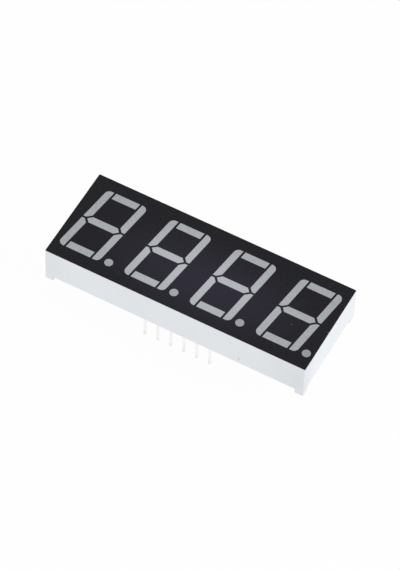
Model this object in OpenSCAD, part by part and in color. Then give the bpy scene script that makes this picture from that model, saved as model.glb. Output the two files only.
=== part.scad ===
// Multi-digit seven-segment LED display module for through-hole soldering.
// A white moulded reflector case with one tapered light well per segment, each filled with diffused
// epoxy. Behind the wells lies a circuit board with one LED die per segment, and a potted back from
// which two rows of round pins leave.
// Millimetres. +X runs along the row of digits, +Y to their tops and +Z out of the display face.
// The origin is the centre of the pin pattern in the seating plane, under the corner feet.

/* [Digits] */
// Number of digits in the row
digits = 4; // [2:1:6]
// Distance between the centres of neighbouring digits
digit_pitch = 12.7; // [12.4:0.05:16]
// Height of a digit
digit_h = 14.15; // [12:0.05:15]
// Width of a digit, measured along X
digit_w = 8.1; // [7:0.1:8.8]
// Lean of the digits to the right, in degrees
digit_slant = 8; // [0:1:10]
// Width of the upright segments, measured along X
bar_w = 1.29; // [1:0.01:1.6]
// Height of the level segments
stroke_h = 1.37; // [1:0.01:1.8]
// Gap between neighbouring segments
segment_gap = 0.41; // [0.2:0.01:0.6]
// Angle of the mitred ends beside the middle segment, in degrees
mitre_angle = 45; // [40:1:60]
// Radius of the digit's four outer corners
bar_corner_r = 0.95; // [0.3:0.05:1]
// Diameter of the decimal point
point_d = 1.54; // [1.2:0.02:1.9]
// Gap between the decimal point and the segment beside it
point_gap = 0.8; // [0.4:0.02:0.9]
// Height of the decimal point's centre above the digit's base line
point_rise = 0.66; // [0.5:0.02:1.5]
// Shift of the row of digits along X, which balances the last decimal point
row_shift_x = -0.06; // [-0.3:0.02:0.3]
// Shift of the row of digits along Y
row_shift_y = 0.08; // [-0.3:0.01:0.3]

/* [Case] */
// Length by which the case falls short of its digit cells, so that modules stand end to end
end_relief = 0.5; // [0.1:0.05:0.6]
// Height from the seating plane to the display face
case_h = 7.7; // [6.6:0.1:14]
// Thickness of the skirt wall round the circuit board
skirt_t = 0.8; // [0.5:0.05:1]
// Height of the corner feet
foot_h = 1; // [0.4:0.1:2]
// Length of each leg of a corner foot
foot_l = 1.6; // [1.2:0.1:4]
// Bevel round the rim of the display face
rim_bevel = 0.03; // [0.03:0.01:0.25]
// Radius of the upright edges at the case's corners
case_corner_r = 0.2; // [0.1:0.05:0.5]
// Thickness of the black coat on the display face
coat_t = 0.05; // [0.03:0.01:0.3]

/* [Light wells] */
// Depth of the straight land at the mouth of a well, under the coat
land_h = 0.6; // [0.2:0.1:1.5]
// Length of a well's foot, round the die
cup_l = 2.4; // [1.4:0.1:3]
// Width of a well's foot, round the die
cup_w = 0.9; // [0.6:0.05:1]
// Diameter of the foot of a decimal point's well
point_cup_d = 1.1; // [1:0.05:1.2]

/* [Circuit board] */
// Thickness of the circuit board
board_t = 1; // [0.6:0.1:1.6]
// Gap between the board's edges and the skirt, which the potting fills
board_gap = 0.2; // [0.1:0.05:0.3]
// Depth of the board's back face above the skirt's rim
board_depth = 1; // [0.8:0.1:1.6]

/* [LED dies] */
// Side of a die, seen from the front
die_w = 0.25; // [0.2:0.01:0.35]
// Height of a die
die_h = 0.2; // [0.1:0.01:0.25]
// Thickness of a bond wire
wire_t = 0.03; // [0.02:0.005:0.05]
// Distance from a die's centre to the pad that its bond wire runs to
wire_span = 0.4; // [0.34:0.01:0.44]
// Radius of a bond wire's two bends, which is the height of its loop over the die
wire_bend_r = 0.14; // [0.08:0.01:0.16]

/* [Pins] */
// Number of pins in each of the two rows
pins_per_row = 6; // [2:1:8]
// Distance between neighbouring pins in a row
pin_pitch = 2.54; // [2:0.01:3.2]
// Distance between the two rows of pins
pin_row_gap = 15.24; // [14.8:0.01:18]
// Distance from a row of pins to the long side beside it
pin_inset = 1.88; // [1.75:0.01:4]
// Diameter of a pin
pin_d = 0.5; // [0.4:0.01:0.7]
// Length of the pins below the seating plane
pin_reach = 6.1; // [2:0.1:10]
// Bevel round the tip of a pin
pin_tip_bevel = 0.08; // [0.02:0.01:0.15]
// Thickness of the tin on a pin's free length, up to the potting
tin_t = 0.02; // [0.01:0.005:0.05]
// Diameter of a solder joint where it meets the board
solder_d = 1.2; // [0.9:0.05:1.25]
// Height of a solder joint
solder_h = 0.6; // [0.3:0.05:0.7]
// Thickness of the solder collar round the pin at a joint's top
solder_collar_t = 0.06; // [0.03:0.01:0.1]

/* [Potting] */
// Depth of the potting's face inside the skirt's rim
potting_recess = 0.08; // [0.02:0.02:0.3]

/* [Hidden] */
$fn = 48;
ARC_STEPS = 6;
// A cut runs this far past the face that it opens
CUT_MARGIN = 0.5;
// A rounded corner takes at most this share of its bar's width
CORNER_SHARE = 0.9;
// The mouth of a well's funnel stands this far outside the far corner of its bar
MOUTH_MARGIN = 0.05;

BARS = ["a", "b", "c", "d", "e", "f", "g"];
PIN_COUNT = 2 * pins_per_row;

// Outline of the case, the recess inside its skirt, and the board in that recess
case_l = digits * digit_pitch - end_relief;
case_w = pin_row_gap + 2 * pin_inset;
recess_l = case_l - 2 * skirt_t;
recess_w = case_w - 2 * skirt_t;
board_l = recess_l - 2 * board_gap;
board_w = recess_w - 2 * board_gap;

// Bare core of a pin, where the potting, the solder and the board hold it
core_d = pin_d - 2 * tin_t;

// Levels, from the seating plane up
rim_z = foot_h;
potting_z = rim_z + potting_recess;
board_back_z = rim_z + board_depth;
board_front_z = board_back_z + board_t;
face_z = case_h - coat_t;
land_z = face_z - land_h;

// Halves of a digit, and the level at which the mitres of one side meet
half_w = digit_w / 2;
half_h = digit_h / 2;
inner_u = half_w - bar_w;
mitre_u = half_w - bar_w / 2;

// Radius of the outer corners, held within a bar where the leaning digit's corner is sharp
corner_r = min(bar_corner_r, CORNER_SHARE * bar_w * tan(45 - digit_slant / 2));

function digit_name(d) = str("digit_", d);
function segment_name(d, s) = str(digit_name(d), "_segment_", s);
function point_name(d) = str(digit_name(d), "_point");
function dies_name(d) = str(digit_name(d), "_dies");
function wires_name(d) = str(digit_name(d), "_bond_wires");
function pin_name(p) = str("pin_", p);

// A digit is drawn upright, with u to the right and v up from its middle, and then leans and moves to its place
function digit_x(d) = (d - (digits + 1) / 2) * digit_pitch + row_shift_x;
function on_face(d, p) = [digit_x(d) + p[0] + p[1] * tan(digit_slant), row_shift_y + p[1]];
function arc(centre, r, from, to) =
    [for (i = [0:ARC_STEPS]) let (t = from + (to - from) * i / ARC_STEPS) centre + r * [cos(t), sin(t)]];
function rounded_box(l, w, r) = [
    each arc([l / 2 - r, w / 2 - r], r, 0, 90),
    each arc([r - l / 2, w / 2 - r], r, 90, 180),
    each arc([r - l / 2, r - w / 2], r, 180, 270),
    each arc([l / 2 - r, r - w / 2], r, 270, 360)
];

// Place along u of the mitred edge that runs at height v beside the middle segment, on either side of its gap
function mitre_edge(v, side) = (v * cos(mitre_angle) + side * segment_gap / 2) / sin(mitre_angle) - mitre_u;
function mitre_top() = ((mitre_u - inner_u) * sin(mitre_angle) + segment_gap / 2) / cos(mitre_angle);

// Outer corner of the upper left segment, drawn round on the leaning digit and given on the upright one.
// Lean is 1 for the two blunt corners of the leaning digit and -1 for its two sharp ones.
function outer_corner(lean) =
    let (
        slant = lean * digit_slant,
        reach = corner_r / tan(45 + slant / 2),
        centre = [half_h * tan(slant) - half_w + reach, half_h - corner_r]
    )
    [for (p = arc(centre, corner_r, 90, 180 - slant)) [p[0] - p[1] * tan(slant), p[1]]];

// The upper left segment, which the other three uprights mirror
function upright_outline(lean) = [
    [-half_w, segment_gap / 2],
    [mitre_edge(segment_gap / 2, -1), segment_gap / 2],
    [-inner_u, mitre_top()],
    [-inner_u, half_h],
    each outer_corner(lean)
];
function level_outline() = let (u = inner_u - segment_gap) [
    [-u, half_h - stroke_h], [u, half_h - stroke_h], [u, half_h], [-u, half_h]
];
function middle_outline() = let (tip = mitre_edge(0, 1), flat = mitre_edge(stroke_h / 2, 1)) [
    [tip, 0], [flat, -stroke_h / 2], [-flat, -stroke_h / 2],
    [-tip, 0], [-flat, stroke_h / 2], [flat, stroke_h / 2]
];
function mirrored(points, mu, mv) = [for (p = points) [mu * p[0], mv * p[1]]];
function bar_outline(s) =
    s == "a" ? level_outline() :
    s == "d" ? mirrored(level_outline(), 1, -1) :
    s == "f" ? upright_outline(1) :
    s == "b" ? mirrored(upright_outline(-1), -1, 1) :
    s == "e" ? mirrored(upright_outline(-1), 1, -1) :
    s == "c" ? mirrored(upright_outline(1), -1, -1) :
    middle_outline();
function is_upright(s) = s == "b" || s == "c" || s == "e" || s == "f";

// Middle of a segment, where its die sits, in the digit's own u and v
function bar_centre(s) =
    s == "a" ? [0, half_h - stroke_h / 2] :
    s == "d" ? [0, stroke_h / 2 - half_h] :
    s == "f" ? [-mitre_u, half_h / 2] :
    s == "b" ? [mitre_u, half_h / 2] :
    s == "e" ? [-mitre_u, -half_h / 2] :
    s == "c" ? [mitre_u, -half_h / 2] :
    [0, 0];
function bar_place(d, s) = on_face(d, bar_centre(s));

// Reach of a well's funnel from the die, along its bar, past the bar's far corner on the leaning digit
function bar_reach(s) =
    MOUTH_MARGIN + (is_upright(s) ? half_h / 2 / cos(digit_slant) + bar_w / 2 * sin(digit_slant) : half_w);
function point_v() = point_rise - half_h;
function point_place(d) = [
    digit_x(d) + half_w + point_v() * tan(digit_slant) + point_gap + point_d / 2,
    row_shift_y + point_v()
];

// Every die's place in a digit: the seven bars, then the decimal point
function die_places(d) = [for (s = BARS) bar_place(d, s), point_place(d)];

// Pins are counted from the front left corner, along the front row and back along the other
function pin_place(p) =
    let (back = p > pins_per_row, i = back ? PIN_COUNT - p : p - 1)
    [(i - (pins_per_row - 1) / 2) * pin_pitch, (back ? 1 : -1) * pin_row_gap / 2];

// Section of a light well: a straight land at its mouth, then sides that close in on the die
function well_section(half, cup, below) = [
    [half, case_h], [-half, case_h], [-half, land_z], [-cup / 2, board_front_z],
    if (below > 0) each [[-cup / 2, board_front_z - below], [cup / 2, board_front_z - below]],
    [cup / 2, board_front_z], [half, land_z]
];

// Funnel that the sides of a well follow, long along X and centred on its die
module funnel(half_l, half_b, below) {
    intersection() {
        rotate([90, 0, 0])
            linear_extrude(2 * half_b, center = true)
                polygon(well_section(half_l, cup_l, below));
        rotate([90, 0, 90])
            linear_extrude(2 * half_l, center = true)
                polygon(well_section(half_b, cup_w, below));
    }
}

// Space that a bar's light pipe fills, from the board to the face. A cut also runs below the board's front.
module bar_well(d, s, below = 0) {
    upright = is_upright(s);
    half_b = upright ? bar_w : stroke_h;
    intersection() {
        translate([0, 0, board_front_z - below])
            linear_extrude(case_h - board_front_z + below)
                polygon([for (p = bar_outline(s)) on_face(d, p)]);
        translate(bar_place(d, s))
            rotate([0, 0, upright ? 90 - digit_slant : 0])
                funnel(bar_reach(s), half_b, below);
    }
}

module point_well(d, below = 0) {
    section = well_section(point_d / 2, point_cup_d, below);
    translate(point_place(d))
        rotate_extrude()
            intersection() {
                polygon(section);
                translate([0, board_front_z - below])
                    square([point_d, case_h - board_front_z + below]);
            }
}

module die() {
    translate([-die_w / 2, -die_w / 2, board_front_z])
        cube([die_w, die_w, die_h]);
}

// Loop from the die's top to a pad on the board, as a band of square section
module bond_wire() {
    top = die_h;
    near = [-wire_bend_r, top];
    far = [wire_bend_r - wire_span, top];
    outer = wire_bend_r + wire_t / 2;
    inner = wire_bend_r - wire_t / 2;
    translate([0, 0, board_front_z])
        rotate([90, 0, 0])
            linear_extrude(wire_t, center = true)
                polygon([
                    each arc(near, outer, 0, 90),
                    each arc(far, outer, 90, 180),
                    [-wire_span - wire_t / 2, 0],
                    [-wire_span + wire_t / 2, 0],
                    each arc(far, inner, 180, 90),
                    each arc(near, inner, 90, 0)
                ]);
}

module segment(d, s) {
    color("#B2B5B9")
        difference() {
            bar_well(d, s);
            translate(bar_place(d, s)) {
                die();
                bond_wire();
            }
        }
}

module decimal_point(d) {
    color("#B2B5B9")
        difference() {
            point_well(d);
            translate(point_place(d)) {
                die();
                bond_wire();
            }
        }
}

module dies(d) {
    color("#3A2C22")
        for (p = die_places(d))
            translate(p) die();
}

module bond_wires(d) {
    color("#D9B44A")
        for (p = die_places(d))
            translate(p) bond_wire();
}

// Side view of the case's block, with the bevel along its upper edges
function block_section(length) = let (half = length / 2) [
    [-half, rim_z], [half, rim_z], [half, face_z - rim_bevel], [half - rim_bevel, face_z],
    [rim_bevel - half, face_z], [-half, face_z - rim_bevel]
];

module case_block() {
    intersection() {
        linear_extrude(face_z)
            polygon(rounded_box(case_l, case_w, case_corner_r));
        rotate([90, 0, 0])
            linear_extrude(case_w, center = true)
                polygon(block_section(case_l));
        rotate([90, 0, 90])
            linear_extrude(case_l, center = true)
                polygon(block_section(case_w));
    }
}

// Corner blocks that the recess later leaves as two legs along the skirt
module corner_feet() {
    intersection() {
        linear_extrude(rim_z)
            polygon(rounded_box(case_l, case_w, case_corner_r));
        for (x = [-1, 1], y = [-1, 1])
            translate([x * (case_l - foot_l) / 2, y * (case_w - foot_l) / 2, rim_z / 2])
                cube([foot_l, foot_l, rim_z], center = true);
    }
}

module recess_space(from_z) {
    translate([-recess_l / 2, -recess_w / 2, from_z])
        cube([recess_l, recess_w, board_front_z - from_z]);
}

module reflector_case() {
    color("#E6E9EC")
        difference() {
            union() {
                case_block();
                corner_feet();
            }
            recess_space(-CUT_MARGIN);
            for (d = [1:digits]) {
                for (s = BARS)
                    bar_well(d, s, CUT_MARGIN);
                point_well(d, CUT_MARGIN);
            }
        }
}

module face_coat() {
    color("#26272B")
        translate([0, 0, face_z])
            linear_extrude(coat_t)
                difference() {
                    polygon(rounded_box(case_l - 2 * rim_bevel, case_w - 2 * rim_bevel, case_corner_r));
                    for (d = [1:digits]) {
                        for (s = BARS)
                            polygon([for (p = bar_outline(s)) on_face(d, p)]);
                        translate(point_place(d)) circle(d = point_d);
                    }
                }
}

module board_space() {
    translate([-board_l / 2, -board_w / 2, board_back_z])
        cube([board_l, board_w, board_t]);
}

module circuit_board() {
    color("#6E9A63")
        difference() {
            board_space();
            for (p = [1:PIN_COUNT])
                translate([each pin_place(p), board_back_z - CUT_MARGIN])
                    cylinder(d = core_d, h = board_t + 2 * CUT_MARGIN);
        }
}

// A wire that ends flush with the board's front, tinned on its free length and bevelled at its tip
module pin(p) {
    color("#CFCFCB")
        translate(pin_place(p))
            rotate_extrude()
                polygon([
                    [0, -pin_reach],
                    [pin_d / 2 - pin_tip_bevel, -pin_reach],
                    [pin_d / 2, pin_tip_bevel - pin_reach],
                    [pin_d / 2, potting_z],
                    [core_d / 2, potting_z],
                    [core_d / 2, board_front_z],
                    [0, board_front_z]
                ]);
}

// Half section of a solder joint: a hollow cone that hugs the pin behind the board
function solder_section(bore_r) =
    let (
        collar_r = core_d / 2 + solder_collar_t,
        reach = solder_d / 2 - collar_r,
        curve = [for (i = [0:ARC_STEPS]) let (t = 90 * i / ARC_STEPS)
            [solder_d / 2 - reach * sin(t), board_back_z - solder_h * (1 - cos(t))]]
    )
    [[bore_r, board_back_z], each curve, [bore_r, board_back_z - solder_h]];

module solder_joints() {
    color("#B9BBBD")
        for (p = [1:PIN_COUNT])
            translate(pin_place(p))
                rotate_extrude()
                    polygon(solder_section(core_d / 2));
}

module back_potting() {
    color("#D8DCCB")
        difference() {
            recess_space(potting_z);
            board_space();
            for (p = [1:PIN_COUNT])
                translate(pin_place(p)) {
                    rotate_extrude()
                        polygon(solder_section(0));
                    translate([0, 0, potting_z - CUT_MARGIN])
                        cylinder(d = core_d, h = board_back_z - potting_z + CUT_MARGIN);
                }
        }
}

reflector_case();
face_coat();
for (d = [1:digits]) {
    for (s = BARS)
        segment(d, s);
    decimal_point(d);
    dies(d);
    bond_wires(d);
}
circuit_board();
for (p = [1:PIN_COUNT])
    pin(p);
solder_joints();
back_potting();
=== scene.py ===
"""Looks of a four-digit seven-segment display module, built around its CAD frame.

The module stands on the tips of its twelve pins. +X runs along the row of digits, +Z points out of the
display face, and the pins leave the back towards -Z. The frame is in metres, and so are the sizes of the
classes, which are written in millimetres times MM.
"""

import logging
import math
from dataclasses import dataclass, replace
from enum import Enum

import bmesh
import bpy
from mathutils import Matrix, Vector


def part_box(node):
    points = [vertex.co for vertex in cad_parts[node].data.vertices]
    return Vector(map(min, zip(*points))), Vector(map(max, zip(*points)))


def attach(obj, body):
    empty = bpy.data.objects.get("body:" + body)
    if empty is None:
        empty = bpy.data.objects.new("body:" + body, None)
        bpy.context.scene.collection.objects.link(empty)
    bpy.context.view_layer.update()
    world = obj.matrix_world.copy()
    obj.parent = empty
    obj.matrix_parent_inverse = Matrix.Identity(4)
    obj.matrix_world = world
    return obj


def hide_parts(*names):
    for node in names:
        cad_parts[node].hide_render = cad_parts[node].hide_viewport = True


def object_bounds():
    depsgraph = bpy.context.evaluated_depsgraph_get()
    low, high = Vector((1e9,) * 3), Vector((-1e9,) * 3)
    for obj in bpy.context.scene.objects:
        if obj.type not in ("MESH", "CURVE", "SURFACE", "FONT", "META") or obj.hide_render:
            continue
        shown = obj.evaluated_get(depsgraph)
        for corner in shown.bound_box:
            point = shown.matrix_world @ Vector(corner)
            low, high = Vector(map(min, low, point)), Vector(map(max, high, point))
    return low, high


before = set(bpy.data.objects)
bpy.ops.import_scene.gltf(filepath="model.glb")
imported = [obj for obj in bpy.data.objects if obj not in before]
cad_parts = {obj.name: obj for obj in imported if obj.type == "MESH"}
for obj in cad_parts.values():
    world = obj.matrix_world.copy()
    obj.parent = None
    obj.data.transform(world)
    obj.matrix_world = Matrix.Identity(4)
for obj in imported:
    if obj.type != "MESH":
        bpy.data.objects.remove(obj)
CAD_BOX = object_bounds()

LOG = logging.getLogger("display_module")
MM = 0.001
# Vertices closer than this are one
SAME_PLACE = 0.001 * MM

# The part's one body, and the names by which its CAD nodes are counted
BODY = "root"
DIGITS = range(1, 5)
SEGMENTS = "abcdefg"
PINS = tuple(f"pin_{number}" for number in range(1, 13))

# Places of the front wall, the two ends, the display face, the potting's back and the pins' tips, in
# millimetres
FRONT, LEFT, RIGHT = CAD_BOX[0].y / MM, CAD_BOX[0].x / MM, CAD_BOX[1].x / MM
FACE, SEAL, TIPS = CAD_BOX[1].z / MM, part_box("back_potting")[0].z / MM, CAD_BOX[0].z / MM

# The sRGB curve: a straight foot up to the knee, and a power above it
SRGB_KNEE, SRGB_SLOPE, SRGB_OFFSET, SRGB_POWER = 0.04045, 12.92, 0.055, 2.4
# Sockets of a Mix node that mixes colours
MIX_FACTOR, MIX_A, MIX_B, MIX_RESULT = 0, 6, 7, 2
# Range that holds nearly all the values of a noise texture, and the noise's detail
NOISE_LOW, NOISE_HIGH = 0.3, 0.7
MOTTLE_DETAIL, GRAIN_DETAIL = 3.0, 2.0

Colour = tuple[float, float, float, float]
Triple = tuple[float, float, float]


class Slot(Enum):
    """The record's material slots."""

    CASE = "case_plastic"
    COAT = "black_coat"
    SEGMENT = "segment_epoxy"
    BOARD = "board_laminate"
    DIE = "led_die"
    WIRE = "gold_wire"
    PIN = "tinned_pin"
    SOLDER = "solder"
    POTTING = "potting_epoxy"


class WhiteRay(Enum):
    """The kinds of ray that see the studio's surroundings as plain white."""

    CAMERA = "Is Camera Ray"
    GLOSSY = "Is Glossy Ray"
    TRANSMISSION = "Is Transmission Ray"


def linear(hex_colour: str) -> Colour:
    """Turn an sRGB hex colour into linear light.

    Args:
        hex_colour: Colour as "#RRGGBB".

    Returns:
        Linear red, green and blue, with an alpha of 1.
    """
    channels = [level / 255 for level in bytes.fromhex(hex_colour[1:])]
    light = [
        level / SRGB_SLOPE if level <= SRGB_KNEE
        else ((level + SRGB_OFFSET) / (1 + SRGB_OFFSET)) ** SRGB_POWER
        for level in channels
    ]
    return (*light, 1.0)


def per_mm(size: float) -> float:
    """Texture scale, on coordinates in metres, at which one feature measures the size in millimetres."""
    return 1 / (size * MM)


def plan_centre(node: str) -> Vector:
    """Centre of a CAD node, seen from above."""
    low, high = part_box(node)
    return ((low + high) / 2).xy


def plan_radius(node: str) -> float:
    """Radius of an upright round CAD node."""
    low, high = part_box(node)
    return (high.x - low.x) / 2


def empty_tree(owner: bpy.types.Material | bpy.types.World) -> bpy.types.NodeTree:
    """Give a material or the surroundings an empty node tree.

    Args:
        owner: The material or the surroundings.

    Returns:
        The node tree.
    """
    owner.use_nodes = True
    owner.node_tree.nodes.clear()
    return owner.node_tree


def add_node(tree: bpy.types.NodeTree, kind: str, inputs: dict[str | int, object] | None = None,
             **settings: object) -> bpy.types.Node:
    """Add a shader node with its settings and links.

    Args:
        tree: Node tree that takes the node.
        kind: Type of the node, without the leading "ShaderNode".
        inputs: Values and sockets by the name or number of an input. A socket is linked, a value is set.
        settings: Attributes of the node itself.

    Returns:
        The new node.
    """
    node = tree.nodes.new("ShaderNode" + kind)
    for name, value in settings.items():
        setattr(node, name, value)
    for key, value in (inputs or {}).items():
        if isinstance(value, bpy.types.NodeSocket):
            tree.links.new(value, node.inputs[key])
        else:
            node.inputs[key].default_value = value
    return node


@dataclass(frozen=True)
class Mark:
    """An oval patch of another colour on a surface.

    Attributes:
        place: Centre in the CAD frame, in millimetres.
        reach: Half sizes along its own axes, in millimetres.
        colour: Colour at its middle.
        turn: Turn about Z, in degrees.
        core: Share of its reach that has the full colour, before it fades out.
        strength: Share of the ground that it hides at its middle.
    """

    place: Triple
    reach: Triple
    colour: str
    turn: float = 0.0
    core: float = 0.6
    strength: float = 1.0

    def over(self, tree: bpy.types.NodeTree, coords: bpy.types.NodeSocket,
             ground: bpy.types.NodeSocket) -> bpy.types.NodeSocket:
        """Lay the mark over a colour.

        Args:
            tree: Node tree of the finish.
            coords: Object coordinates.
            ground: Colour under the mark.

        Returns:
            The colour with the mark on it.
        """
        oval = add_node(tree, "Mapping", {
            "Vector": coords,
            "Location": [c * MM for c in self.place],
            "Rotation": (0, 0, math.radians(self.turn)),
            "Scale": [r * MM for r in self.reach],
        }, vector_type="TEXTURE")
        distance = add_node(tree, "VectorMath", {0: oval.outputs[0]}, operation="LENGTH")
        cover = add_node(tree, "MapRange", {
            "Value": distance.outputs["Value"], "From Min": self.core, "From Max": 1.0,
            "To Min": self.strength, "To Max": 0.0,
        }, interpolation_type="SMOOTHSTEP")
        mixed = add_node(tree, "Mix", {
            MIX_FACTOR: cover.outputs[0], MIX_A: ground, MIX_B: linear(self.colour),
        }, data_type="RGBA")
        return mixed.outputs[MIX_RESULT]


@dataclass(frozen=True)
class Finish:
    """A finish, with the values that its shader starts from.

    Attributes:
        name: Real material and how its surface was made.
        slot: Slot of the record that it stands for. Not used.
        colour: Main colour.
        shade: Second colour, which mottles the first.
        mottle: Size of the mottling, in millimetres.
        roughness: Roughness at the two ends of the mottling.
        grain: Size of the surface grain, in millimetres.
        relief: Height of the grain, in millimetres.
        ior: Index of refraction. A metal keeps the default.
        metallic: 1 for a metal.
        specular: Strength of the reflection, 0.5 for a bare surface.
        marks: Patches of other colours, in the order in which they are laid.
    """

    name: str
    slot: Slot
    colour: str
    shade: str
    mottle: float
    roughness: tuple[float, float]
    grain: float
    relief: float
    ior: float = 1.5
    metallic: float = 0.0
    specular: float = 0.5
    marks: tuple[Mark, ...] = ()

    def material(self) -> bpy.types.Material:
        """Make the material, or find it if an earlier piece has made it.

        Returns:
            The material.
        """
        if self.name in bpy.data.materials:
            return bpy.data.materials[self.name]
        material = bpy.data.materials.new(self.name)
        tree = empty_tree(material)
        coords = add_node(tree, "TexCoord").outputs["Object"]
        mottling = add_node(tree, "TexNoise", {
            "Vector": coords, "Scale": per_mm(self.mottle), "Detail": MOTTLE_DETAIL,
        })
        spread = add_node(tree, "MapRange", {
            "Value": mottling.outputs[0], "From Min": NOISE_LOW, "From Max": NOISE_HIGH,
        })
        grain = add_node(tree, "TexNoise", {
            "Vector": coords, "Scale": per_mm(self.grain), "Detail": GRAIN_DETAIL,
        })
        mixed = add_node(tree, "Mix", {
            MIX_FACTOR: spread.outputs[0], MIX_A: linear(self.colour), MIX_B: linear(self.shade),
        }, data_type="RGBA")
        colour = mixed.outputs[MIX_RESULT]
        for mark in self.marks:
            colour = mark.over(tree, coords, colour)
        roughness = add_node(tree, "MapRange", {
            "Value": mottling.outputs[0], "To Min": self.roughness[0], "To Max": self.roughness[1],
        })
        bump = add_node(tree, "Bump", {"Height": grain.outputs[0], "Distance": self.relief * MM})
        shader = add_node(tree, "BsdfPrincipled", {
            "Base Color": colour,
            "Roughness": roughness.outputs[0],
            "Normal": bump.outputs[0],
            "IOR": self.ior,
            "Metallic": self.metallic,
            "Specular IOR Level": self.specular,
        })
        add_node(tree, "OutputMaterial", {"Surface": shader.outputs[0]})
        return material

    def dress_node(self, name: str) -> None:
        """Give a CAD node this finish.

        Args:
            name: Name of the node.
        """
        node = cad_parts[name]
        for slot in node.material_slots:
            slot.material = self.material()
        LOG.info("dressed %s in %s", name, self.name)

    def dress_piece(self, piece: bpy.types.Object, *replaced: str) -> None:
        """Give a new piece this finish, and let it stand for CAD nodes.

        Args:
            piece: The new piece.
            replaced: Names of the CAD nodes that it stands for.
        """
        piece.data.materials.append(self.material())
        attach(piece, BODY)
        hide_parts(*replaced)
        LOG.info("built %s in %s for %s", piece.name, self.name, ", ".join(replaced))


# White polycarbonate blend, moulded in a spark-eroded tool: cool white and satin, with a fine even grain.
# The grain is drawn coarser than the tool leaves it, so that it shows. The wall is a little darker towards
# the front-left corner, and painted shade darkens it towards the front-right corner. A dot and a longer
# speck of dirt lie on the front wall.
MOULDED_POLYCARBONATE = Finish(
    name="moulded_white_polycarbonate", slot=Slot.CASE, colour="#ECF0F4", shade="#EAEEF2", mottle=5.0,
    roughness=(0.45, 0.6), grain=0.25, relief=0.004, ior=1.58, specular=0.3,
    marks=(
        # A little darker towards the front-left corner.
        Mark(place=(LEFT, FRONT, 4.0), reach=(6.0, 4.5, 12.0), colour="#E7EBEF", core=0.0),
        # Painted shade: darker towards the front-right corner.
        Mark(place=(RIGHT, FRONT, 4.0), reach=(12.0, 4.5, 12.0), colour="#E2E6EA", core=0.0),
        Mark(place=(10.96, FRONT, 5.63), reach=(0.13, 0.1, 0.13), colour="#8C8F92", strength=0.7),
        Mark(place=(12.66, FRONT, 2.37), reach=(0.11, 0.1, 0.2), colour="#8C8F92"),
        Mark(place=(12.86, FRONT, 2.01), reach=(0.1, 0.1, 0.13), colour="#8C8F92"),
    ),
)

# Matt black screen ink: dark and finely grained, with a broad bluish painted reflection over the middle. The
# grain is drawn coarser than the pigment's, so that it shows. The ink carries a fleck of dust, a short bent
# scratch and two spots at the rim where the white case shows through.
SCREEN_INK = Finish(
    name="matt_black_screen_ink", slot=Slot.COAT, colour="#101115", shade="#1B1B21", mottle=0.4,
    roughness=(0.5, 0.65), grain=0.2, relief=0.003, specular=0.14,
    marks=(
        # Painted reflection: a broad bluish sheen over the middle of the face.
        Mark(place=(2.0, -2.0, FACE), reach=(26.0, 11.0, 20.0), colour="#343143", core=0.0, strength=0.5),
        Mark(place=(18.78, -2.3, FACE), reach=(0.16, 0.12, 0.2), colour="#5A5B5E", turn=30.0),
        Mark(place=(20.86, 7.9, FACE), reach=(0.28, 0.09, 0.2), colour="#3A3A3E", turn=75.0),
        Mark(place=(20.95, 8.62, FACE), reach=(0.4, 0.08, 0.2), colour="#3A3A3E", turn=54.0),
        Mark(place=(25.0, -0.72, FACE), reach=(0.13, 0.13, 0.3), colour="#D5D9DC", strength=0.35),
        Mark(place=(-12.7, 9.44, FACE), reach=(0.12, 0.1, 0.3), colour="#D5D9DC", strength=0.4),
    ),
)

# Epoxy filled with a white diffuser and poured flush with the face: milky grey and faintly clouded, with a
# painted pool of light that makes it paler along the row's middle. The filler's clouds are drawn coarser
# than they are, so that they show.
DIFFUSED_EPOXY = Finish(
    name="cast_diffused_epoxy", slot=Slot.SEGMENT, colour="#A0A3A7", shade="#AEB1B5", mottle=0.4,
    roughness=(0.35, 0.5), grain=0.3, relief=0.003, ior=1.53, specular=0.25,
    marks=(
        # Painted pool of light: paler along the row's middle.
        Mark(place=(0.0, -1.5, FACE), reach=(27.0, 12.0, 20.0), colour="#CACDD3", core=0.0, strength=0.5),
    ),
)

# The same epoxy in the decimal points, where the thinner cast over the dark die looks a little darker.
POINT_EPOXY = replace(
    DIFFUSED_EPOXY, name="cast_diffused_epoxy_point", colour="#919598", shade="#9A9DA1",
    marks=(
        # Painted pool of light: paler along the row's middle, as in the bars.
        Mark(place=(-3.0, -6.3, FACE), reach=(32.0, 11.0, 20.0), colour="#B6B8BD", core=0.0, strength=0.5),
    ),
)

# Copper-core wire, hot tinned: a bright soft metal with a slight ripple from the bath, and darker tips, from
# duller cut ends and from painted contact shadow where they stand on the floor.
HOT_TINNED_WIRE = Finish(
    name="hot_tinned_wire", slot=Slot.PIN, colour="#FBFAFB", shade="#F2F1F3", mottle=0.6,
    roughness=(0.22, 0.38), grain=0.4, relief=0.006, metallic=1.0,
    # Darker towards the tips: duller cut ends, with painted contact shadow.
    marks=(Mark(place=(0.0, 0.0, TIPS), reach=(80.0, 80.0, 1.1), colour="#EEECEF", core=0.5),),
)

# Tin solder set in a cone: a little darker than the wire, with a finer and duller grain.
SET_SOLDER = Finish(
    name="set_solder", slot=Slot.SOLDER, colour="#D6D6D2", shade="#C6C6C1", mottle=0.4,
    roughness=(0.28, 0.45), grain=0.2, relief=0.008, metallic=1.0,
)

# Casting epoxy with a white filler: glossy and milky, with long shallow waves. The board behind it tinges it
# green, and the grey solder round each pin shows dimly.
POTTING_EPOXY = Finish(
    name="poured_potting_epoxy", slot=Slot.POTTING, colour="#E0E3DB", shade="#D4D9CE", mottle=4.0,
    roughness=(0.08, 0.18), grain=1.5, relief=0.012, ior=1.53,
    marks=tuple(
        Mark(place=(*(plan_centre(pin) / MM), SEAL), reach=(0.85, 0.85, 0.85), colour="#B2B7B1", core=0.3)
        for pin in PINS
    ),
)

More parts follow.
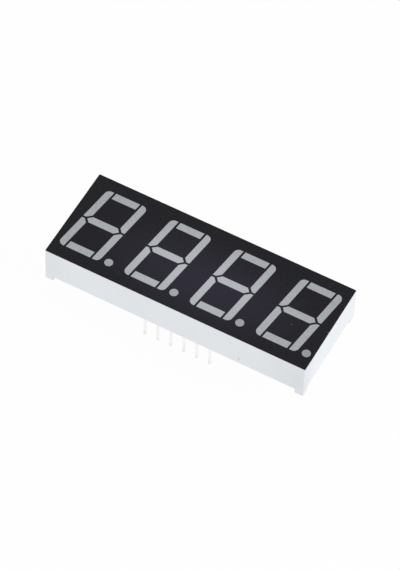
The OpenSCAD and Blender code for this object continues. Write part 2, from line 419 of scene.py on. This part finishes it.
# Glass-fibre laminate under green solder mask: satin, and faintly uneven from the fibres below.
GREEN_LAMINATE = Finish(
    name="glass_fibre_laminate", slot=Slot.BOARD, colour="#3E7A4A", shade="#346C40", mottle=1.0,
    roughness=(0.35, 0.5), grain=0.5, relief=0.008, ior=1.55,
)

# Sawn gallium arsenide crystal: a dark shiny grey.
SAWN_CRYSTAL = Finish(
    name="sawn_gallium_arsenide", slot=Slot.DIE, colour="#55524F", shade="#494643", mottle=0.05,
    roughness=(0.15, 0.3), grain=0.04, relief=0.001, ior=3.3,
)

# Drawn gold bond wire: a clean warm metal.
DRAWN_GOLD = Finish(
    name="drawn_gold_wire", slot=Slot.WIRE, colour="#E6BE6A", shade="#DBB05A", mottle=0.05,
    roughness=(0.15, 0.25), grain=0.03, relief=0.0005, metallic=1.0,
)


def add_object(name: str, data: bpy.types.ID) -> bpy.types.Object:
    """Add an object to the scene.

    Args:
        name: Name of the object.
        data: Its mesh, camera or lamp.

    Returns:
        The new object, at the origin.
    """
    added = bpy.data.objects.new(name, data)
    bpy.context.scene.collection.objects.link(added)
    return added


def add_mesh(name: str, shape: bmesh.types.BMesh) -> bpy.types.Object:
    """Turn a bmesh into an object, and free the bmesh.

    Args:
        name: Name of the object and of its mesh.
        shape: The finished bmesh, with its place in its vertices.

    Returns:
        The new object, at the origin.
    """
    mesh = bpy.data.meshes.new(name)
    shape.to_mesh(mesh)
    shape.free()
    return add_object(name, mesh)


def make_piece(name: str, shape: bmesh.types.BMesh, smooth_angle: float) -> bpy.types.Object:
    """Turn the faces of a closed bmesh outwards, shade it and make it a piece.

    Args:
        name: Name of the piece.
        shape: The finished bmesh, with its place in its vertices.
        smooth_angle: Edges flatter than this, in degrees, are shaded smooth.

    Returns:
        The new piece.
    """
    bmesh.ops.recalc_face_normals(shape, faces=shape.faces)
    for face in shape.faces:
        face.smooth = True
    for edge in shape.edges:
        edge.smooth = edge.calc_face_angle(0.0) < math.radians(smooth_angle)
    return add_mesh(name, shape)


@dataclass
class ReflectorCase:
    """The white moulding that holds the light wells, with its skirt and corner feet.

    Attributes:
        node: CAD node of the case.
        finish: Finish of the moulding.
    """

    node: str = "reflector_case"
    finish: Finish = MOULDED_POLYCARBONATE

    def build(self) -> None:
        """Dress the case."""
        self.finish.dress_node(self.node)


@dataclass
class DisplayFace:
    """The printed coat and the light pipes that show through it.

    Attributes:
        coat: CAD node of the printed coat.
        coat_finish: Finish of the coat.
        bar_finish: Finish of the bars.
        point_finish: Finish of the decimal points.
    """

    coat: str = "face_coat"
    coat_finish: Finish = SCREEN_INK
    bar_finish: Finish = DIFFUSED_EPOXY
    point_finish: Finish = POINT_EPOXY

    def build(self) -> None:
        """Dress the coat and each light pipe."""
        self.coat_finish.dress_node(self.coat)
        for digit in DIGITS:
            for segment in SEGMENTS:
                self.bar_finish.dress_node(f"digit_{digit}_segment_{segment}")
            self.point_finish.dress_node(f"digit_{digit}_point")


@dataclass
class LightSources:
    """The LED dies and their bond wires on the board.

    Attributes:
        die_finish: Finish of the dies.
        wire_finish: Finish of the bond wires.
    """

    die_finish: Finish = SAWN_CRYSTAL
    wire_finish: Finish = DRAWN_GOLD

    def build(self) -> None:
        """Dress the dies and the wires."""
        for digit in DIGITS:
            self.die_finish.dress_node(f"digit_{digit}_dies")
            self.wire_finish.dress_node(f"digit_{digit}_bond_wires")


@dataclass
class Pins:
    """The two rows of round tinned pins.

    Attributes:
        nodes: CAD nodes of the pins.
        sides: Sides of a pin's round section.
        tip_radius: Rounding of the cut tip.
        tip_steps: Steps of that rounding.
        core_radius: Radius of the wire inside the seal.
        smooth_angle: Edges flatter than this, in degrees, are shaded smooth.
        finish: Finish of the wire.
    """

    nodes: tuple[str, ...] = PINS
    sides: int = 32
    tip_radius: float = 0.08 * MM
    tip_steps: int = 4
    core_radius: float = 0.23 * MM
    smooth_angle: float = 50.0
    finish: Finish = HOT_TINNED_WIRE

    def build(self) -> None:
        """Build each pin in place of its CAD node."""
        seal_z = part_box("back_potting")[0].z
        for node in self.nodes:
            piece = make_piece(f"tinned_{node}", self.shape(node, seal_z), self.smooth_angle)
            self.finish.dress_piece(piece, node)

    def shape(self, node: str, seal_z: float) -> bmesh.types.BMesh:
        """Turn a pin from its profile and round its tip.

        Args:
            node: CAD node of the pin.
            seal_z: Height at which the pin enters the seal.

        Returns:
            The pin in its place.
        """
        low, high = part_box(node)
        radius = plan_radius(node)
        profile = (
            (0, low.z), (radius, low.z), (radius, seal_z),
            (self.core_radius, seal_z), (self.core_radius, high.z), (0, high.z),
        )
        shape = bmesh.new()
        points = [shape.verts.new((x, 0, z)) for x, z in profile]
        lines = [shape.edges.new(pair) for pair in zip(points, points[1:])]
        bmesh.ops.spin(shape, geom=points + lines, cent=(0, 0, 0), axis=(0, 0, 1), angle=math.tau,
                       steps=self.sides, use_merge=True)
        bmesh.ops.remove_doubles(shape, verts=shape.verts, dist=SAME_PLACE)
        bmesh.ops.recalc_face_normals(shape, faces=shape.faces)
        rim = [e for e in shape.edges if all(
            abs(v.co.z - low.z) < SAME_PLACE and v.co.xy.length > radius / 2 for v in e.verts)]
        bmesh.ops.bevel(shape, geom=rim, offset=self.tip_radius, affect="EDGES", segments=self.tip_steps,
                        profile=0.5, material=-1)
        bmesh.ops.translate(shape, verts=shape.verts, vec=(*plan_centre(node), 0))
        return shape


@dataclass
class BackSeal:
    """The potting inside the skirt, with the board and the solder joints that it covers.

    Attributes:
        node: CAD node of the potting.
        board: CAD node of the board that it is poured on.
        solder: CAD node of the solder joints.
        cell: Size of the cells of the potting's back face.
        wall_gap: Gap between the potting and the skirt.
        creep: Height to which the epoxy creeps up the skirt.
        creep_width: Distance over which that creep dies away.
        pin_creep: Height to which it creeps down a pin.
        pin_creep_width: Distance over which that dies away.
        pin_zone: Distance from a pin's centre within which the cells are finer.
        pin_cuts: Cuts through each edge of the cells there.
        smooth_angle: Edges flatter than this, in degrees, are shaded smooth.
        finish: Finish of the potting.
        board_finish: Finish of the board.
        solder_finish: Finish of the solder joints.
        pins: CAD nodes of the pins that leave through the potting.
    """

    node: str = "back_potting"
    board: str = "circuit_board"
    solder: str = "solder_joints"
    cell: float = 0.2 * MM
    wall_gap: float = 0.005 * MM
    creep: float = 0.07 * MM
    creep_width: float = 0.35 * MM
    pin_creep: float = 0.18 * MM
    pin_creep_width: float = 0.22 * MM
    pin_zone: float = 0.9 * MM
    pin_cuts: int = 3
    smooth_angle: float = 60.0
    finish: Finish = POTTING_EPOXY
    board_finish: Finish = GREEN_LAMINATE
    solder_finish: Finish = SET_SOLDER
    pins: tuple[str, ...] = PINS

    def build(self) -> None:
        """Build the potting in place of its CAD node, and dress the board and the solder."""
        self.board_finish.dress_node(self.board)
        self.solder_finish.dress_node(self.solder)
        piece = make_piece("poured_potting", self.shape(), self.smooth_angle)
        self.finish.dress_piece(piece, self.node)

    def shape(self) -> bmesh.types.BMesh:
        """Pour the potting: a slab on the board's back, whose free face creeps up the skirt and the pins.

        Returns:
            The potting in its place.
        """
        low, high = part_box(self.node)
        half = (high - low).xy / 2 - Vector((self.wall_gap, self.wall_gap))
        board_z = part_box(self.board)[0].z
        cells = [round(2 * side / self.cell) for side in half]
        shape = bmesh.new()
        bmesh.ops.create_grid(shape, x_segments=cells[0], y_segments=cells[1], size=1.0,
                              matrix=Matrix.Diagonal((half.x, half.y, 1, 1)))
        slab = bmesh.ops.extrude_face_region(shape, geom=shape.faces[:])
        for vert in slab["geom"]:
            if isinstance(vert, bmesh.types.BMVert):
                vert.co.z = board_z
        pins = [(plan_centre(node), plan_radius(node)) for node in self.pins]
        near = {v for v in shape.verts if v.co.z < board_z and any(
            (v.co.xy - centre).length < self.pin_zone for centre, _ in pins)}
        bmesh.ops.subdivide_edges(shape, edges=[e for e in shape.edges if near.issuperset(e.verts)],
                                  cuts=self.pin_cuts, use_grid_fill=True, use_single_edge=True)
        for vert in shape.verts:
            if vert.co.z < board_z:
                wall = min(half.x - abs(vert.co.x), half.y - abs(vert.co.y))
                pin = min((vert.co.xy - centre).length - radius for centre, radius in pins)
                vert.co.z = low.z - self.rise(wall, pin)
        return shape

    def rise(self, wall: float, pin: float) -> float:
        """How far the back face stands out at a place.

        Args:
            wall: Distance to the skirt.
            pin: Distance to the nearest pin, below zero inside it.

        Returns:
            The height of the creep there.
        """
        wall_creep = self.creep * math.exp(-wall / self.creep_width)
        return wall_creep + self.pin_creep * math.exp(-max(pin, 0) / self.pin_creep_width)


@dataclass
class Camera:
    """The camera at the photograph's viewing angle.

    Attributes:
        azimuth: Angle of the camera round the module, in degrees from the front towards the right.
        elevation: Angle above the display face, in degrees.
        roll: Turn of the picture, in degrees.
        distance: Distance from the middle of the display face.
        focal: Focal length, in pixels.
        image: Width and height of the picture, in pixels.
        aim: Pixel at which the middle of the display face lies.
        sensor: Sensor size along the picture's longer side, in Blender's own millimetres.
        clip: Nearest and farthest distance that the camera sees.
    """

    azimuth: float = 26.24
    elevation: float = 54.19
    roll: float = -2.83
    distance: float = 597.0 * MM
    focal: float = 3497.0
    image: tuple[int, int] = (400, 570)
    aim: tuple[float, float] = (200.43, 270.27)
    sensor: float = 36.0
    clip: tuple[float, float] = (10 * MM, 10000 * MM)

    def build(self) -> None:
        """Make the camera and set it as the scene's."""
        data = bpy.data.cameras.new("camera")
        data.sensor_width = self.sensor
        data.lens = self.focal / max(self.image) * self.sensor
        data.clip_start, data.clip_end = self.clip
        camera = add_object("camera", data)
        camera.matrix_world = self.place()
        bpy.context.scene.camera = camera
        LOG.info("placed the camera %.0f mm from the face", self.distance / MM)

    def place(self) -> Matrix:
        """Work out where the camera stands and how it is turned.

        Returns:
            The camera's matrix.
        """
        around, above = math.radians(self.azimuth), math.radians(self.elevation)
        back = Vector((
            math.sin(around) * math.cos(above),
            -math.cos(around) * math.cos(above),
            math.sin(above),
        ))
        right = Vector((0, 0, 1)).cross(back).normalized()
        tilt = Matrix.Rotation(-math.radians(self.roll), 3, back)
        right = tilt @ right
        up = back.cross(right)
        offset = [(aim - size / 2) / self.focal * self.distance for aim, size in zip(self.aim, self.image)]
        middle = Vector((0, 0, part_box("face_coat")[1].z))
        place = middle + back * self.distance - right * offset[0] + up * offset[1]
        turned = Matrix((right, up, back)).transposed().to_4x4()
        return Matrix.Translation(place) @ turned


@dataclass
class Studio:
    """The white floor, the surroundings and the lamp.

    Attributes:
        floor_half: Half size of the floor.
        floor_colour: Colour of the floor.
        floor_white: Share of plain white that the camera sees in the floor. The rest keeps the shadow.
        floor_glow: Share of plain white by which the floor lights the object, like a light table.
        sky: Level of the surroundings' light.
        lamp_power: Power of the lamp, in watts.
        lamp_size: Size of the lamp's face.
        lamp_place: Place of the lamp.
    """

    floor_half: float = 1500 * MM
    floor_colour: str = "#F7F7F7"
    floor_white: float = 0.95
    floor_glow: float = 0.65
    sky: float = 0.83
    lamp_power: float = 2.34
    lamp_size: float = 600 * MM
    lamp_place: Triple = (960 * MM, 180 * MM, 660 * MM)

    def build(self) -> None:
        """Set up the floor, the surroundings, the lamp and the view transform."""
        bpy.context.scene.view_settings.view_transform = "Standard"
        self.build_floor()
        self.build_sky()
        self.build_lamp()
        LOG.info("set up the studio")

    def whitened(self, tree: bpy.types.NodeTree, low: float, high: float) -> bpy.types.NodeSocket:
        """Make a factor that is high for the rays that see plain white, and low for the rest.

        Args:
            tree: Node tree of the floor or the surroundings.
            low: Value for the light that falls on the object.
            high: Value for the camera and for what it sees in gloss and through glass.

        Returns:
            The factor.
        """
        path = add_node(tree, "LightPath")
        seen = path.outputs[WhiteRay.CAMERA.value]
        for ray in (WhiteRay.GLOSSY, WhiteRay.TRANSMISSION):
            either = add_node(tree, "Math", {0: seen, 1: path.outputs[ray.value]}, operation="MAXIMUM")
            seen = either.outputs[0]
        return add_node(tree, "MapRange", {"Value": seen, "To Min": low, "To Max": high}).outputs[0]

    def build_floor(self) -> None:
        """Lay the floor under the pins. It can't be seen from below."""
        shape = bmesh.new()
        bmesh.ops.create_grid(shape, x_segments=1, y_segments=1, size=self.floor_half)
        bmesh.ops.translate(shape, verts=shape.verts, vec=(0, 0, CAD_BOX[0].z))
        floor = add_mesh("floor", shape)
        material = bpy.data.materials.new("white_paper_floor")
        floor.data.materials.append(material)
        tree = empty_tree(material)
        paper = add_node(tree, "BsdfDiffuse", {"Color": linear(self.floor_colour)})
        white = add_node(tree, "Emission", {"Strength": 1.0})
        share = self.whitened(tree, self.floor_glow, self.floor_white)
        lit = add_node(tree, "MixShader", {0: share, 1: paper.outputs[0], 2: white.outputs[0]})
        clear = add_node(tree, "BsdfTransparent")
        side = add_node(tree, "NewGeometry").outputs["Backfacing"]
        surface = add_node(tree, "MixShader", {0: side, 1: lit.outputs[0], 2: clear.outputs[0]})
        add_node(tree, "OutputMaterial", {"Surface": surface.outputs[0]})

    def build_sky(self) -> None:
        """Surround the object with even white light."""
        world = bpy.data.worlds.new("studio")
        bpy.context.scene.world = world
        tree = empty_tree(world)
        light = add_node(tree, "Background", {
            "Color": (1.0, 1.0, 1.0, 1.0), "Strength": self.whitened(tree, self.sky, 1.0),
        })
        add_node(tree, "OutputWorld", {"Surface": light.outputs[0]})

    def build_lamp(self) -> None:
        """Hang a large soft lamp beyond the module's right end."""
        data = bpy.data.lights.new("soft_lamp", "AREA")
        data.energy = self.lamp_power
        data.size = self.lamp_size
        lamp = add_object("soft_lamp", data)
        place = Vector(self.lamp_place)
        lamp.matrix_world = Matrix.Translation(place) @ place.to_track_quat("Z", "Y").to_matrix().to_4x4()
        lamp.visible_camera = False


def main() -> None:
    """Build the scene: the camera first, then the module from front to back, then the studio."""
    logging.basicConfig(level=logging.INFO, format="%(message)s")
    assemblies = (
        Camera(), ReflectorCase(), DisplayFace(), LightSources(), Pins(), BackSeal(), Studio(),
    )
    for assembly in assemblies:
        assembly.build()


if __name__ == "__main__":
    main()
